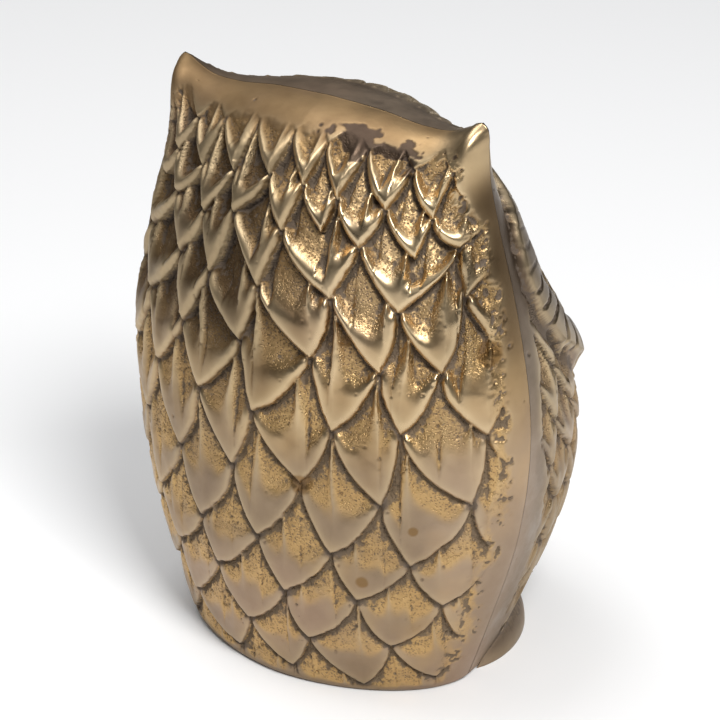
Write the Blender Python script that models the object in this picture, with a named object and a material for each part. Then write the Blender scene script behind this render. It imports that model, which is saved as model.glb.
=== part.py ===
"""Hollow cast-brass owl figurine, made as two half castings brazed together along a side seam.

Metres, +Z up. The owl faces -Y and stands on z = 0; the seam lies in a plane facing Y and runs up
one flank, over the ear tips and the crown, and down the other flank.
"""

import math

import bmesh
import bpy
import numpy as np
from mathutils import Matrix, Vector

# Driving dimensions, in metres
HEIGHT = 0.115  # floor to ear tips
WALL = 0.0028  # casting wall
GAP = 0.0003  # clearance between touching pieces
SIDE_GAP = 0.0006  # clearance where curved faces meet: the feet on the body, the bead in the hollow
SEAM_Y = 0.01255  # places the middle of the figure's depth at y = 0
BEAD_RADIUS = 0.0012  # brazing bead along the inside of the seam

# Body outline by height: half width at the seam, depth behind it and depth in front of it
WIDTH_HEIGHTS = (0.0, 0.014, 0.035, 0.058, 0.080, 0.098, 0.107, 0.1118, 0.1138, 0.115)
HALF_WIDTHS = (0.0314, 0.0360, 0.0419, 0.0437, 0.0403, 0.0358, 0.0342, 0.0336, 0.0331, 0.0320)
REAR_HEIGHTS = (0.0, 0.022, 0.046, 0.069, 0.092)
REAR_DEPTHS = (0.0192, 0.0230, 0.0234, 0.0230, 0.0216)
FRONT_HEIGHTS = (0.0, 0.009, 0.018, 0.036, 0.046, 0.055, 0.061, 0.066, 0.077, 0.089, 0.100)
FRONT_DEPTHS = (0.0300, 0.0360, 0.0425, 0.0460, 0.0450, 0.0415, 0.0460, 0.0450, 0.0400, 0.0350, 0.0300)
REAR_ROUNDNESS = 1.8  # exponent of the rear half's cross-section; 2 is an ellipse
ROUNDNESS_HEIGHTS = (0.0, 0.050, 0.062, 0.078, 0.092, 0.115)
FRONT_ROUNDNESSES = (2.6, 2.6, 2.4, 1.8, 1.5, 1.5)

# Crown: the seam's height from the middle of the head out to an ear tip
CREST_STEPS = (0.0, 0.35, 0.62, 0.78, 0.88, 0.94, 1.0)
CREST_HEIGHTS = (0.1133, 0.1128, 0.1118, 0.1122, 0.1132, 0.1141, 0.1150)
CREST_MIDDLE = CREST_HEIGHTS[0]
REAR_SHOULDER = 0.078  # the back begins to round over to the crown here
FRONT_SHOULDER = 0.089
SHOULDER_ROUNDNESS = 2.2

# Hollow left by the casting core
CORE_TOP = 0.104
CORE_SHOULDER = 0.062
CORE_BELOW_FLOOR = 0.004

# Ears: a blunt ridge runs down each one from its tip, thick behind the seam and slight in front
EAR_RIDGE_REAR = 0.00425
EAR_RIDGE_FRONT = 0.0014
EAR_RIDGE_ACROSS = 0.93  # share of the half width
EAR_RIDGE_WIDTH = 0.07
EAR_FOOT = 0.084
EAR_FADE = (0.30, 0.92)  # shares of the ear's rise between which the ridge reaches its full size
EAR_BLUNT_FROM = 0.86  # share of the ear's rise where the ridge starts to round off to the tip
EAR_BLUNTNESS = 2.2
SEAM_SHARPNESS = 30  # how close to the seam the ridge keeps its size on the flank
CREST_SHARPNESS = 40  # and how close to the crest

# Face
EYE_SPACING = 0.0310
EYE_HEIGHT = 0.0780
EYE_RADIUS = 0.0085
EYE_SET_BACK = 0.25  # share of its radius by which an eye's middle lies behind the face
EYE_DEPTH = 0.7  # an eye's half depth, as a share of its radius
BEAK_TOP = 0.0745
BEAK_TIP = 0.0590
BEAK_RADIUS = 0.0050
BEAK_STAND = 0.0026
BEAK_TIP_SHARE = 0.25  # the beak's radius at its tip, as a share of its radius at the top

# Feet: smooth lobes beside the front of the base, turned inwards
FOOT_SPREAD = 0.0180
FOOT_PLACE = 0.0162
FOOT_TURN = 26.0  # degrees
FOOT_HALF_SIZE = (0.0145, 0.0195, 0.0112)

# Mesh density
RING_STEPS = 48
RISE_STEPS = 26
BEAD_STEPS = 27
BEAD_BEVEL = 2  # steps in each quarter of the bead's section
FOOT_MESH = (24, 12)  # segments round and rings
EYE_MESH = (20, 10)
BEAK_SEGMENTS = 16
MERGE = 1e-6  # points closer than this become one

BRASS = (0.47, 0.36, 0.21, 1.0)
BRAZE = (0.60, 0.48, 0.26, 1.0)


def smooth_curve(at, xs, ys):
    """The smooth curve through the points (xs, ys), read at the values in at."""
    xs = np.asarray(xs, float)
    ys = np.asarray(ys, float)
    slopes = np.gradient(ys, xs)
    at = np.clip(np.asarray(at, float), xs[0], xs[-1])
    span = np.clip(np.searchsorted(xs, at, side="right") - 1, 0, len(xs) - 2)
    width = xs[span + 1] - xs[span]
    t = (at - xs[span]) / width
    rise = ys[span] * (1 + 2 * t) * (1 - t) ** 2 + ys[span + 1] * t**2 * (3 - 2 * t)
    return rise + width * (slopes[span] * t * (1 - t) ** 2 + slopes[span + 1] * t**2 * (t - 1))


def shoulder(z, start, top):
    """1 below start, falling to 0 at top along a rounded corner."""
    t = np.clip((z - start) / (top - start), 0.0, 1.0)
    return (1.0 - t**SHOULDER_ROUNDNESS) ** (1.0 / SHOULDER_ROUNDNESS)


def cross_section(rear, z):
    """The exponent of the cross-section's outline at this height."""
    return REAR_ROUNDNESS if rear else float(smooth_curve(z, ROUNDNESS_HEIGHTS, FRONT_ROUNDNESSES))


def ear_ridge(across, z, rise):
    """The ear ridge's profile: 1 where it is thickest, 0 at the tip, the seam and down the flank."""
    up = min(max((z - EAR_FOOT) / (HEIGHT - EAR_FOOT), 0.0), 1.0)
    fade = min(max((up - EAR_FADE[0]) / (EAR_FADE[1] - EAR_FADE[0]), 0.0), 1.0)
    to_tip = max(up - EAR_BLUNT_FROM, 0.0) / (1.0 - EAR_BLUNT_FROM)
    blunt = math.sqrt(max(1.0 - to_tip**EAR_BLUNTNESS, 0.0))
    edge = (1.0 - across**SEAM_SHARPNESS) * math.sqrt(1.0 - min(rise, 1.0) ** CREST_SHARPNESS)
    bump = math.exp(-(((across - EAR_RIDGE_ACROSS) / EAR_RIDGE_WIDTH) ** 2))
    return fade * fade * (3.0 - 2.0 * fade) * blunt * edge * bump


def body_point(angle, rise, grow=0.0):
    """A point on the outside of the body, moved out by about grow.

    angle runs once round the body: 0 at the seam on the owl's left flank, then over the back.
    rise goes from 0 at the base to 1 along the crown's crest.
    """
    rear = math.sin(angle) >= 0.0
    level = rise * CREST_MIDDLE
    roundness = cross_section(rear, level)
    across = abs(math.cos(angle)) ** (2.0 / roundness)
    along = abs(math.sin(angle)) ** (2.0 / roundness)
    z = rise * float(smooth_curve(across, CREST_STEPS, CREST_HEIGHTS))
    half_width = float(smooth_curve(z, WIDTH_HEIGHTS, HALF_WIDTHS))
    if rear:
        depth = float(smooth_curve(level, REAR_HEIGHTS, REAR_DEPTHS))
        depth *= float(shoulder(level, REAR_SHOULDER, CREST_MIDDLE))
    else:
        depth = float(smooth_curve(level, FRONT_HEIGHTS, FRONT_DEPTHS))
        depth *= float(shoulder(level, FRONT_SHOULDER, CREST_MIDDLE))
    x = math.copysign(across * (half_width + grow), math.cos(angle))
    ridge = ear_ridge(across, z, rise) * (EAR_RIDGE_REAR if rear else EAR_RIDGE_FRONT)
    y = math.copysign(along * (depth + grow) + ridge, math.sin(angle))
    return x, y, z


def core_point(angle, rise):
    """A point on the hollow's wall: the body's outline drawn in by the wall, with a rounder top."""
    rear = math.sin(angle) >= 0.0
    z = -CORE_BELOW_FLOOR + rise * (CORE_TOP + CORE_BELOW_FLOOR)
    roundness = cross_section(rear, z)
    round_off = float(shoulder(z, CORE_SHOULDER, CORE_TOP))
    half_width = float(smooth_curve(z, WIDTH_HEIGHTS, HALF_WIDTHS)) - WALL
    heights, depths = (REAR_HEIGHTS, REAR_DEPTHS) if rear else (FRONT_HEIGHTS, FRONT_DEPTHS)
    depth = float(smooth_curve(z, heights, depths)) - WALL
    x = math.copysign(abs(math.cos(angle)) ** (2.0 / roundness) * half_width * round_off, math.cos(angle))
    y = math.copysign(abs(math.sin(angle)) ** (2.0 / roundness) * depth * round_off, math.sin(angle))
    return x, y, z


def material(name, colour, roughness):
    made = bpy.data.materials.new(name)
    made.use_nodes = True
    shader = made.node_tree.nodes["Principled BSDF"]
    shader.inputs["Base Color"].default_value = colour
    shader.inputs["Metallic"].default_value = 1.0
    shader.inputs["Roughness"].default_value = roughness
    return made


def add_object(name, mesh, collection, finish=None):
    made = bpy.data.objects.new(name, mesh)
    collection.objects.link(made)
    made.location = (0.0, SEAM_Y, 0.0)
    if finish is None:
        made.hide_render = True
        made.display_type = "WIRE"
    else:
        mesh.materials.append(finish)
        mesh.shade_smooth()
    return made


def lofted_body(name, point_at):
    """A closed body lofted up from its base ring; the top ring folds together or closes on a point."""
    shape = bmesh.new()
    bmesh.ops.create_grid(shape, x_segments=RING_STEPS, y_segments=RISE_STEPS, size=0.5)
    for vertex in shape.verts:
        angle = 2.0 * math.pi * (vertex.co.x + 0.5)
        step = round((vertex.co.x + 0.5) * RING_STEPS)
        if step in (0, RING_STEPS // 2, RING_STEPS):
            angle = math.pi * round(angle / math.pi) % (2.0 * math.pi)
        rise = math.sin(0.5 * math.pi * min(vertex.co.y + 0.5, 1.0))  # rings close up towards the top
        vertex.co = point_at(angle, rise)
    bmesh.ops.remove_doubles(shape, verts=shape.verts, dist=MERGE)
    bmesh.ops.holes_fill(shape, edges=[edge for edge in shape.edges if edge.is_boundary])
    bmesh.ops.recalc_face_normals(shape, faces=shape.faces)
    mesh = bpy.data.meshes.new(name)
    shape.to_mesh(mesh)
    shape.free()
    return mesh


def box_mesh(name, low, high):
    shape = bmesh.new()
    bmesh.ops.create_cube(shape, size=1.0)
    for vertex in shape.verts:
        vertex.co = [low[k] + (vertex.co[k] + 0.5) * (high[k] - low[k]) for k in range(3)]
    mesh = bpy.data.meshes.new(name)
    shape.to_mesh(mesh)
    shape.free()
    return mesh


def ball_mesh(name, centre, half_size, detail):
    shape = bmesh.new()
    bmesh.ops.create_uvsphere(shape, u_segments=detail[0], v_segments=detail[1], radius=1.0)
    for vertex in shape.verts:
        vertex.co = [centre[k] + vertex.co[k] * half_size[k] for k in range(3)]
    mesh = bpy.data.meshes.new(name)
    shape.to_mesh(mesh)
    shape.free()
    return mesh


def face_depth(x, z):
    """How far the face stands in front of the seam at this place."""
    share = min(abs(x) / float(smooth_curve(z, WIDTH_HEIGHTS, HALF_WIDTHS)), 1.0)
    roundness = cross_section(False, z)
    middle = float(smooth_curve(z, FRONT_HEIGHTS, FRONT_DEPTHS))
    return middle * (1.0 - share**roundness) ** (1.0 / roundness)


def beak_mesh(name):
    """A blunt cone that runs down the middle of the face and stands off it at its tip."""
    shape = bmesh.new()
    bmesh.ops.create_cone(
        shape,
        cap_ends=True,
        segments=BEAK_SEGMENTS,
        radius1=BEAK_RADIUS * BEAK_TIP_SHARE,
        radius2=BEAK_RADIUS,
        depth=1.0,
    )
    for vertex in shape.verts:
        x, y, z = vertex.co
        height = BEAK_TIP + (z + 0.5) * (BEAK_TOP - BEAK_TIP)
        vertex.co = (x, y - face_depth(0.0, height) - (0.5 - z) * BEAK_STAND, height)
    mesh = bpy.data.meshes.new(name)
    shape.to_mesh(mesh)
    shape.free()
    return mesh


def boolean(target, other, operation):
    cut = target.modifiers.new(operation.title() + "_" + other.name, "BOOLEAN")
    cut.operation = operation
    cut.object = other
    cut.solver = "EXACT"


def bead_path():
    """The bead's centre line, just inside the hollow's outline in the seam plane."""
    turns = np.linspace(0.0, 0.5 * math.pi, BEAD_STEPS)
    rises = np.sin(turns[turns > math.asin(CORE_BELOW_FLOOR / (CORE_TOP + CORE_BELOW_FLOOR))])
    right = [core_point(math.pi, rise) for rise in rises]
    left = [core_point(0.0, rise) for rise in rises[::-1]]
    outline = np.array([(x, z) for x, _, z in right + left[1:]])
    outline[:, 1] = np.maximum(outline[:, 1], 0.0)
    run = np.gradient(outline, axis=0)
    run /= np.linalg.norm(run, axis=1)[:, None]
    inward = np.stack([run[:, 1], -run[:, 0]], axis=1)
    return outline + inward * (BEAD_RADIUS + SIDE_GAP)


def braze_bead(collection, finish):
    curve = bpy.data.curves.new("seam_braze_path", "CURVE")
    curve.dimensions = "3D"
    curve.bevel_depth = BEAD_RADIUS
    curve.bevel_resolution = BEAD_BEVEL
    curve.use_fill_caps = True
    path = bead_path()
    spline = curve.splines.new("POLY")
    spline.points.add(len(path) - 1)
    for point, (x, z) in zip(spline.points, path):
        point.co = (x, 0.0, max(z, BEAD_RADIUS), 1.0)
    bead = bpy.data.objects.new("seam_braze", curve)
    collection.objects.link(bead)
    bead.location = (0.0, SEAM_Y, 0.0)
    bead.data.materials.append(finish)
    return bead


def half_casting(name, keep_rear, parts, cutters, finish):
    half = add_object(name, lofted_body(name, body_point), parts, finish)
    if not keep_rear:
        boolean(half, cutters["eye_left"], "UNION")
        boolean(half, cutters["eye_right"], "UNION")
        boolean(half, cutters["beak"], "UNION")
    boolean(half, cutters["core"], "DIFFERENCE")
    boolean(half, cutters["front_space" if keep_rear else "rear_space"], "DIFFERENCE")
    return half


def foot(name, side, parts, cutters, finish):
    shape = ball_mesh(name, (0.0, 0.0, 0.0), FOOT_HALF_SIZE, FOOT_MESH)
    turn = Matrix.Rotation(math.radians(side * -FOOT_TURN), 4, "Z")
    shape.transform(Matrix.Translation((side * FOOT_SPREAD, -FOOT_PLACE, 0.0)) @ turn)
    lobe = add_object(name, shape, parts, finish)
    boolean(lobe, cutters["floor"], "DIFFERENCE")
    boolean(lobe, cutters["body_clearance"], "DIFFERENCE")
    return lobe


def grown_point(angle, rise):
    """The body's outside with the clearance added, reaching a little below the floor."""
    point = Vector(body_point(angle, rise, grow=SIDE_GAP))
    if rise > 0.0:
        return point
    above = Vector(body_point(angle, math.sin(0.5 * math.pi / RISE_STEPS), grow=SIDE_GAP))
    return point + (point - above) * (CORE_BELOW_FLOOR / above.z)


def make_cutters(collection):
    reach = 2.0 * HEIGHT
    half_gap = 0.5 * GAP
    meshes = {
        "core": lofted_body("core", core_point),
        "front_space": box_mesh("front_space", (-reach, -reach, -reach), (reach, half_gap, reach)),
        "rear_space": box_mesh("rear_space", (-reach, -half_gap, -reach), (reach, reach, reach)),
        "floor": box_mesh("floor", (-reach, -reach, -reach), (reach, reach, 0.0)),
        "body_clearance": lofted_body("body_clearance", grown_point),
        "beak": beak_mesh("beak"),
    }
    for side, label in ((1.0, "eye_left"), (-1.0, "eye_right")):
        x = side * 0.5 * EYE_SPACING
        centre = (x, EYE_SET_BACK * EYE_RADIUS - face_depth(x, EYE_HEIGHT), EYE_HEIGHT)
        meshes[label] = ball_mesh(label, centre, (EYE_RADIUS, EYE_RADIUS * EYE_DEPTH, EYE_RADIUS), EYE_MESH)
    return {label: add_object(label, mesh, collection) for label, mesh in meshes.items()}


def main():
    for found in list(bpy.data.objects):
        bpy.data.objects.remove(found, do_unlink=True)
    parts = bpy.data.collections.new("owl_figurine")
    tools = bpy.data.collections.new("cutters")
    bpy.context.scene.collection.children.link(parts)
    bpy.context.scene.collection.children.link(tools)
    cutters = make_cutters(tools)
    half_casting("rear_casting", True, parts, cutters, material("rear_brass", BRASS, 0.34))
    half_casting("front_casting", False, parts, cutters, material("front_brass", BRASS, 0.36))
    braze_bead(parts, material("braze", BRAZE, 0.42))
    foot("left_foot", 1.0, parts, cutters, material("left_foot_brass", BRASS, 0.30))
    foot("right_foot", -1.0, parts, cutters, material("right_foot_brass", BRASS, 0.30))


main()
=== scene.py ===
"""Looks of the hollow cast-brass owl: two feathered half castings, the brazed seam and the feet.

The owl faces -Y and stands on z = 0. Lengths are in metres; relief and feather sizes are in
millimetres at a figure 115 mm tall, and scale with the frame's height.
"""

import math

import bpy
import numpy as np
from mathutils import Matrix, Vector


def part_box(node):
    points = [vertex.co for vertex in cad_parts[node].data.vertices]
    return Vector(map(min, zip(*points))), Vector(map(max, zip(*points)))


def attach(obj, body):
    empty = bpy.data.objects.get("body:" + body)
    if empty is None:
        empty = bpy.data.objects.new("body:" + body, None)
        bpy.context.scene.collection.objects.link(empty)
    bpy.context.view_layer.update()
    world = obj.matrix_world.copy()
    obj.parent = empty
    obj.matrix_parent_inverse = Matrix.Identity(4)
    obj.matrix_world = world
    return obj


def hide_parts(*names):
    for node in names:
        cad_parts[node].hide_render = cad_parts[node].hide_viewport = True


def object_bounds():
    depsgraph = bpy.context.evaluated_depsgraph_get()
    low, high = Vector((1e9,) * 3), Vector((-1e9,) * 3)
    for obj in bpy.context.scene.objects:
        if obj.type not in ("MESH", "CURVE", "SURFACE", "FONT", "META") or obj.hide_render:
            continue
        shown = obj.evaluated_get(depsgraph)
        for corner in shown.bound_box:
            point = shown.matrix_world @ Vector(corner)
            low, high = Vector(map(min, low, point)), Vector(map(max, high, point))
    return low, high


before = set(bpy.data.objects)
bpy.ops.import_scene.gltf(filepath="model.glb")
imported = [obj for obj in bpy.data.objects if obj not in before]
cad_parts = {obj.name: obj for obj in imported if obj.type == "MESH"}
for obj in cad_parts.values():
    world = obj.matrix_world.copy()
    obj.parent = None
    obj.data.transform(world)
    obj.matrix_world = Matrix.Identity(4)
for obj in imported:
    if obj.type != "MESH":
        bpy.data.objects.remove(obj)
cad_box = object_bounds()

SEED = 7
DRAWN_HEIGHT = 0.115
DRAWN_BOX_TOP = 0.1148  # top of the CAD's box at that height
HEIGHT = DRAWN_HEIGHT * cad_box[1][2] / DRAWN_BOX_TOP
MM = 0.001 * HEIGHT / DRAWN_HEIGHT
GAP = 0.3 * MM
WALL = 2.8 * MM
SEAM_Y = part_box("rear_casting")[0].y - 0.5 * GAP

# Body outline as shares of the height: half width at the seam, depth behind it and in front of it
WIDTH_AT = (0.0, 0.122, 0.304, 0.504, 0.696, 0.852, 0.913, 0.960, 0.983, 0.993, 1.0)
WIDTHS = (0.273, 0.313, 0.364, 0.380, 0.350, 0.309, 0.2955, 0.2925, 0.2915, 0.2885, 0.281)
REAR_AT = (0.0, 0.191, 0.400, 0.600, 0.800)
REAR_DEPTHS = (0.167, 0.200, 0.2035, 0.200, 0.188)
REAR_ROUND = 1.8
REAR_SHOULDER = 0.678
FRONT_AT = (0.0, 0.078, 0.157, 0.313, 0.400, 0.478, 0.530, 0.574, 0.670, 0.774, 0.870)
FRONT_DEPTHS = (0.261, 0.313, 0.370, 0.400, 0.391, 0.372, 0.368, 0.366, 0.340, 0.300, 0.258)
FRONT_ROUND_AT = (0.0, 0.435, 0.540, 0.678, 0.800, 1.0)
FRONT_ROUNDS = (2.6, 2.6, 2.4, 1.8, 1.5, 1.3)
FRONT_SHOULDER = 0.774
SHOULDER_ROUND = 2.2
CREST_STEPS = (0.0, 0.35, 0.62, 0.78, 0.88, 0.94, 1.0)
CREST = (0.9852, 0.9809, 0.9722, 0.9757, 0.9880, 0.9962, 1.0)
CORE_TOP = 0.904
CORE_SHOULDER = 0.539
# The hollow's wall is dirty, pitted and never rubbed
CORE_LOOK = {"cavity": 0.45, "wear": 0.0, "hollow": 0.6, "stain": 0.0, "crust": 0.2}

# Ears: a blunt ridge runs down the back of each one from its tip, as shares of the height; its place
# and its width across are shares of the half width
EAR_RIDGE = 0.0265
EAR_RIDGE_ACROSS = 0.955
EAR_RIDGE_WIDTH = 0.07
EAR_FOOT = 0.73
EAR_FADE = (0.42, 1.04)  # shares of the ear's rise between which the ridge grows to its full size
EAR_BLUNT_FROM = 0.86  # share of the ear's rise where the ridge starts to round off to the tip
EAR_BLUNTNESS = 2.2
SEAM_SHARPNESS = 50  # how close to the seam the ridge keeps its size
CREST_SHARPNESS = 40  # and how close to the crest

# Braze in the seam
BEAD_RADIUS = 1.15 * MM
BRAZE_INSET = 0.05 * MM  # how far the braze stays below the outside
BEAD_WANDER = 0.10  # how much the bead's thickness varies, as a share of it
WEB_CLEARANCE = 0.01 * MM
BRAZE_DIRT = 0.2

# Toe pads, in millimetres and degrees
FOOT_SPREAD = 18.0
FOOT_PLACE = 16.2
FOOT_TURN = 26.0
FOOT_HALF_SIZE = (14.5, 19.5, 11.2)
FOOT_CLEARANCE = 0.12
FOOT_SHADE_RISE = (2.0, 5.5)  # heights between which painted shade darkens the pad
FOOT_RUBBED = (1.0, 3.5)  # heights between which its rubbed lower edge ends

CAMERA_TURN = 213.36
CAMERA_ELEVATION = 26.81
CAMERA_DISTANCE = 4.4749 * HEIGHT
CAMERA_LENS = 136.1
CAMERA_SENSOR = 36.0
CAMERA_AIM = (-0.0401, -0.0264, 0.5199)  # shares of the height, from the seam plane

# Mesh density
REAR_GRID = (500, 420)  # rows and columns
FRONT_GRID = (420, 420)
CORE_SHARE = 6  # the hollow's wall has this many times fewer rows and columns
RING_SAMPLES = 720
RISE_SAMPLES = 1200
SEAM_ROWS = 90
BEAD_STEPS = 13
FOOT_GRID = (60, 120)
BISECTIONS = 30  # halvings that find where the body's front lies

NOISE_CELLS = 160
NOISE_SHIFT = 400.0  # millimetres; keeps every place in the noise positive


def smooth_curve(at, xs, ys):
    """The smooth curve through the points (xs, ys), read at the values in at."""
    xs = np.asarray(xs, float)
    ys = np.asarray(ys, float)
    slopes = np.gradient(ys, xs)
    at = np.clip(np.asarray(at, float), xs[0], xs[-1])
    span = np.clip(np.searchsorted(xs, at, side="right") - 1, 0, len(xs) - 2)
    width = xs[span + 1] - xs[span]
    t = (at - xs[span]) / width
    rise = ys[span] * (1 + 2 * t) * (1 - t) ** 2 + ys[span + 1] * t**2 * (3 - 2 * t)
    return rise + width * (slopes[span] * t * (1 - t) ** 2 + slopes[span + 1] * t**2 * (t - 1))


def ramp(value, low, high):
    """0 below low, 1 above high, with a smooth step between."""
    t = np.clip((value - low) / (high - low), 0.0, 1.0)
    return t * t * (3.0 - 2.0 * t)


def shoulder(z, start, top):
    """1 below start, falling to 0 at top along a rounded corner."""
    t = np.clip((z - start) / (top - start), 0.0, 1.0)
    return (1.0 - t**SHOULDER_ROUND) ** (1.0 / SHOULDER_ROUND)


def ear_ridge(across, z):
    """The ear ridge's profile: thick and blunt near its tip, fading down the flank."""
    up = np.clip((z - EAR_FOOT) / (1.0 - EAR_FOOT), 0.0, 1.0)
    to_tip = np.clip((up - EAR_BLUNT_FROM) / (1.0 - EAR_BLUNT_FROM), 0.0, 1.0)
    blunt = np.sqrt(1.0 - to_tip**EAR_BLUNTNESS)
    profile = ramp(up, *EAR_FADE) * blunt * (1.0 - across**SEAM_SHARPNESS)
    return profile * np.exp(-(((across - EAR_RIDGE_ACROSS) / EAR_RIDGE_WIDTH) ** 2))


def body_points(angle, rise, rear):
    """Points on the smooth outside of one half, measured from the seam plane, in metres.

    angle runs from 0 at the owl's left flank to pi at its right; rise from 0 at the base to 1
    along the crest of the crown.
    """
    level = rise * CREST[0]
    roundness = REAR_ROUND if rear else smooth_curve(level, FRONT_ROUND_AT, FRONT_ROUNDS)
    across = np.abs(np.cos(angle)) ** (2.0 / roundness)
    along = np.abs(np.sin(angle)) ** (2.0 / roundness)
    z = rise * smooth_curve(across, CREST_STEPS, CREST)
    x = np.sign(np.cos(angle)) * across * smooth_curve(z, WIDTH_AT, WIDTHS)
    if rear:
        depth = smooth_curve(level, REAR_AT, REAR_DEPTHS) * shoulder(level, REAR_SHOULDER, CREST[0])
        y = along * depth + EAR_RIDGE * ear_ridge(across, z) * np.sqrt(1.0 - rise**CREST_SHARPNESS)
    else:
        depth = smooth_curve(level, FRONT_AT, FRONT_DEPTHS) * shoulder(level, FRONT_SHOULDER, CREST[0])
        y = -along * depth
    return np.stack([x, y, z + 0.0 * x], axis=-1) * HEIGHT


def core_points(angle, rise, rear):
    """Points on the hollow's wall, which narrows to a point below the crown."""
    z = rise * CORE_TOP
    roundness = REAR_ROUND if rear else smooth_curve(z, FRONT_ROUND_AT, FRONT_ROUNDS)
    inside = shoulder(z, CORE_SHOULDER, CORE_TOP)
    heights, depths = (REAR_AT, REAR_DEPTHS) if rear else (FRONT_AT, FRONT_DEPTHS)
    wall = WALL / HEIGHT
    width = (smooth_curve(z, WIDTH_AT, WIDTHS) - wall) * inside
    depth = (smooth_curve(z, heights, depths) - wall) * inside
    x = np.sign(np.cos(angle)) * np.abs(np.cos(angle)) ** (2.0 / roundness) * width
    y = np.abs(np.sin(angle)) ** (2.0 / roundness) * depth * (1.0 if rear else -1.0)
    return np.stack([x, y, z + 0.0 * x], axis=-1) * HEIGHT


def length_along(line):
    """How far along a line of points each of them lies."""
    return np.concatenate([[0.0], np.cumsum(np.linalg.norm(np.diff(line, axis=0), axis=1))])


def even_grid(point_at, rear, rows, columns):
    """Points in rows of equal length steps, with each point's place across and up in millimetres."""
    turns = np.linspace(0.0, math.pi, RING_SAMPLES + 1)
    fine_rise = np.sin(np.linspace(0.0, 0.5 * math.pi, RISE_SAMPLES + 1))
    middle = point_at(np.full(fine_rise.shape, 0.5 * math.pi), fine_rise, rear)
    climb = length_along(middle)
    climbs = np.linspace(0.0, climb[-1], rows + 1)
    rises = np.interp(climbs, climb, fine_rise)
    grid = np.empty((rows + 1, columns + 1, 3))
    across = np.empty((rows + 1, columns + 1))
    for row, rise in enumerate(rises):
        ring = point_at(turns, np.full(turns.shape, rise), rear)
        length = length_along(ring)
        steps = np.linspace(0.0, length[-1], columns + 1)
        for axis in range(3):
            grid[row, :, axis] = np.interp(steps, length, ring[:, axis])
        across[row] = length[RING_SAMPLES // 2] - steps
    up = np.repeat(climbs[:, None], columns + 1, axis=1)
    return grid, across / MM, up / MM


def grid_normals(grid, rear):
    """Unit normals of the grid's points, pointing out of the figure."""
    normal = np.cross(np.gradient(grid, axis=1), np.gradient(grid, axis=0))
    normal /= np.linalg.norm(normal, axis=2)[..., None] + 1e-12
    middle = normal[len(grid) // 3, grid.shape[1] // 2]
    return normal if (middle[1] > 0) == rear else -normal


def soft_noise(across, up, cell, seed):
    """Smooth noise from -1 to 1 with features about one cell wide, in millimetres."""
    made = np.random.default_rng(SEED * 1000 + seed)
    size = NOISE_CELLS
    lattice = made.uniform(-1.0, 1.0, (size, size))
    x = (across + NOISE_SHIFT) / cell
    y = (up + NOISE_SHIFT) / cell
    column = np.floor(x).astype(int)
    row = np.floor(y).astype(int)
    fx = ramp(x - column, 0.0, 1.0)
    fy = ramp(y - row, 0.0, 1.0)
    a = lattice[row % size, column % size]
    b = lattice[row % size, (column + 1) % size]
    c = lattice[(row + 1) % size, column % size]
    d = lattice[(row + 1) % size, (column + 1) % size]
    return (a * (1 - fx) + b * fx) * (1 - fy) + (c * (1 - fx) + d * fx) * fy


def blurred(field, steps):
    """The field averaged over a square of 2 * steps + 1 points, three times over."""
    width = 2 * steps + 1
    for _ in range(6):  # rows and columns in turn
        summed = np.cumsum(np.pad(field, [(steps + 1, steps), (0, 0)], mode="edge"), axis=0)
        field = ((summed[width:] - summed[:-width]) / width).T
    return field


# Feather rows from the crown down: height share of the tips, width of a feather and sideways place
# of the row's middle (mm), how bold its relief is, and how far down its hollows reach (share of width)
BACK_ROWS = (
    (0.958, 8.0, 1.0, 0.35, 0.45),
    (0.892, 8.6, 2.2, 1.0, 0.60),
    (0.825, 9.8, -1.2, 1.0, 0.60),
    (0.728, 12.4, 0.5, 1.0, 0.52),
    (0.622, 14.4, 2.0, 0.95, 0.42),
    (0.510, 15.0, 2.5, 0.75, 0.36),
    (0.392, 15.4, 3.8, 0.42, 0.34),
    (0.280, 15.8, 1.3, 0.22, 0.32),
    (0.187, 15.2, -1.2, 0.12, 0.30),
    (0.098, 15.0, -4.4, 0.08, 0.30),
    (0.022, 14.4, -4.9, 0.05, 0.30),
    (-0.060, 14.4, -3.0, 0.05, 0.30),
)
FRONT_ROWS = (
    (0.955, 5.6, 0.0, 0.3, 0.5),
    (0.900, 6.2, 0.0, 0.4, 0.5),
    (0.840, 6.8, 0.0, 0.4, 0.5),
    (0.760, 7.2, 0.0, 0.4, 0.5),
    (0.660, 7.6, 0.0, 0.4, 0.5),
    (0.560, 8.0, 0.0, 0.4, 0.5),
    (0.470, 8.4, 0.0, 0.45, 0.5),
    (0.385, 8.8, 0.0, 0.45, 0.5),
    (0.300, 9.0, 0.0, 0.4, 0.5),
    (0.215, 9.2, 0.0, 0.35, 0.5),
    (0.130, 9.2, 0.0, 0.3, 0.5),
    (0.050, 9.2, 0.0, 0.2, 0.5),
    (-0.030, 9.2, 0.0, 0.2, 0.5),
)

FIRST_ROW_SPAN = 320.0  # millimetres across, so that the rows below still cover both flanks
ROW_PLAY = 0.22  # how far a tip may leave the middle between the tips above, as a share of their distance
ROW_LEAST = 0.6  # least distance between tips, as a share of a feather's width
ROW_JITTER = 0.10
EDGE_BOW = 0.97  # how round the lower edge is where it isn't straight; 1 is a circle's quarter
POINTED_REAR = (0.48, 0.55)  # how straight the edges run to a tip, in the flattest and boldest rows
POINTED_FRONT = (0.70, 0.60)

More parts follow.
